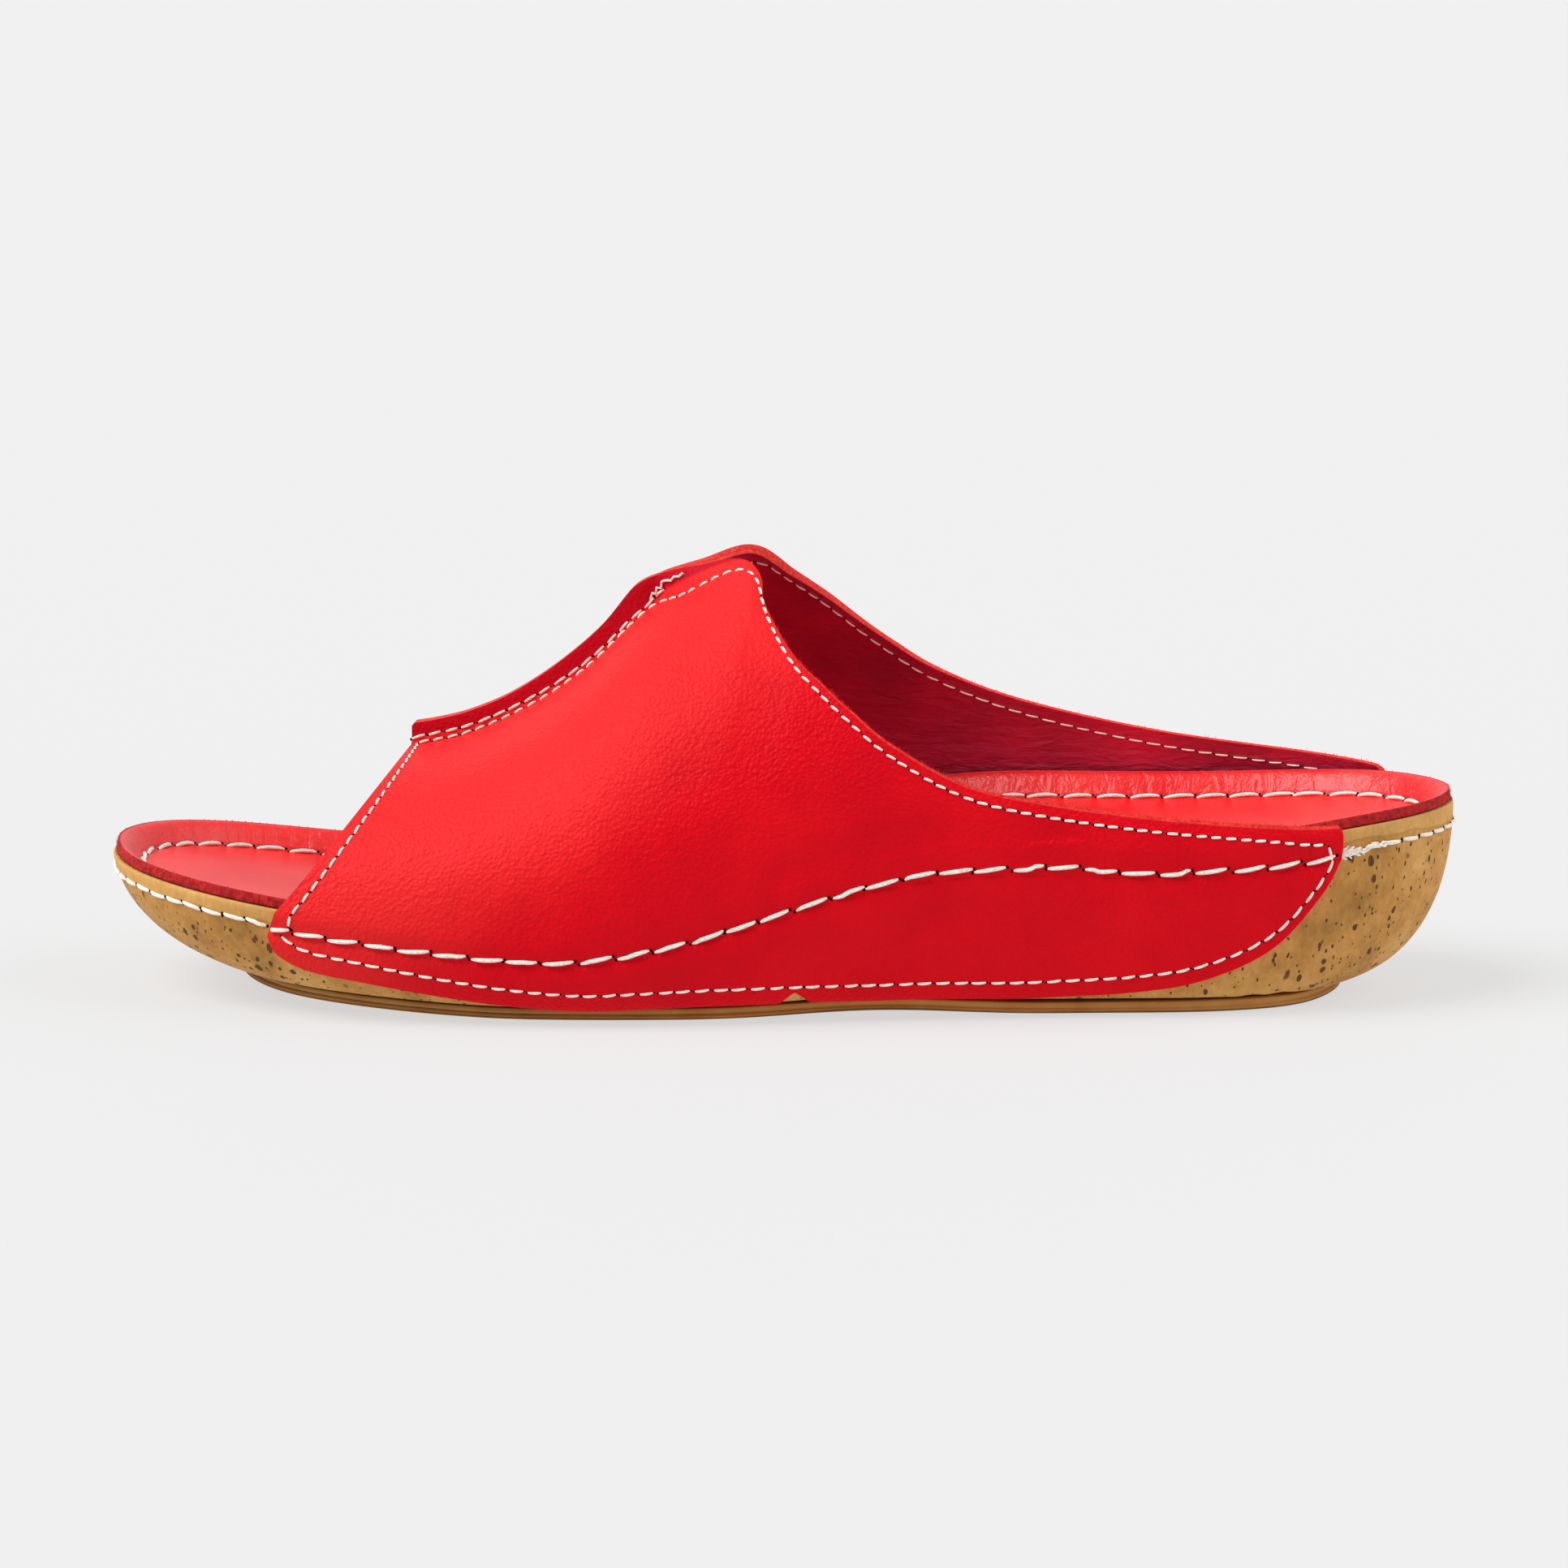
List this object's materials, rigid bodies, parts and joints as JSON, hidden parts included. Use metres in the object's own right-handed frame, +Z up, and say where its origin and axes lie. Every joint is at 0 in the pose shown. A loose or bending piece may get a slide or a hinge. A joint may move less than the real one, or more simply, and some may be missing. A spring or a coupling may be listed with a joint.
{
  "type": "mule",
  "caption": "Left-foot leather mule with an open toe and heel, a raised instep seam, a moulded cup sole, a tread plate and a leather insole.",
  "frame": {"origin": "centre of the shoe's bounding box in plan, on the floor it stands on", "axes": "+X from toe to heel, +Z up, -Y towards the outer side of the foot"},
  "size_m": [0.262, 0.1014, 0.0847],
  "materials": {
    "upper_leather": "semi-matte fine-grained smooth leather",
    "insole_leather": "satin leather footbed cover",
    "moulded_sole": "matte pitted moulded polyurethane",
    "tread_rubber": "matte tread layer"
  },
  "bodies": {
    "root": {"upper": "upper_leather", "insole": "insole_leather", "sole": "moulded_sole", "outsole": "tread_rubber"}
  },
  "joints": []
}
